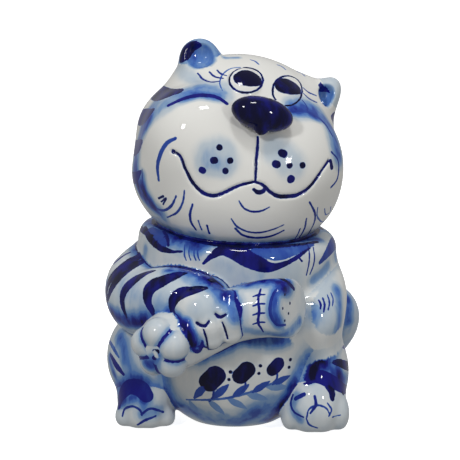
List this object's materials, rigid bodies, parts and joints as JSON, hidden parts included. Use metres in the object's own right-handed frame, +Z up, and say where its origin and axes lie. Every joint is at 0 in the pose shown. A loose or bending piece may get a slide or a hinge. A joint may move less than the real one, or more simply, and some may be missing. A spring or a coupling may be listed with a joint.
{
  "type": "souvenir figurine",
  "caption": "Hollow glazed porcelain figurine of a fat, smiling cat that sits upright and hugs a sausage, hand painted in cobalt blue, to stand on a shelf.",
  "frame": {"origin": "centre of the figurine's footprint, on the plane it stands on", "axes": "+Z up; the cat's body faces -Y; +X towards the cat's own left"},
  "size_m": [0.0994, 0.1044, 0.149],
  "materials": {
    "white_glaze": "gloss",
    "washed_blue_glaze": "gloss",
    "cobalt_glaze": "gloss"
  },
  "bodies": {
    "root": {"torso_shell": "white_glaze", "head_shell": "white_glaze", "ear_right": "white_glaze", "ear_left": "white_glaze", "arm_right": "white_glaze", "paw_right": "white_glaze", "arm_left": "white_glaze", "sausage": "white_glaze", "sausage_tied_end": "white_glaze", "neckerchief": "washed_blue_glaze", "haunch_left": "washed_blue_glaze", "haunch_right": "washed_blue_glaze", "foot_left": "washed_blue_glaze", "foot_right": "washed_blue_glaze", "tail": "washed_blue_glaze", "nose": "cobalt_glaze", "eye_right": "cobalt_glaze", "eye_left": "cobalt_glaze"}
  },
  "joints": []
}
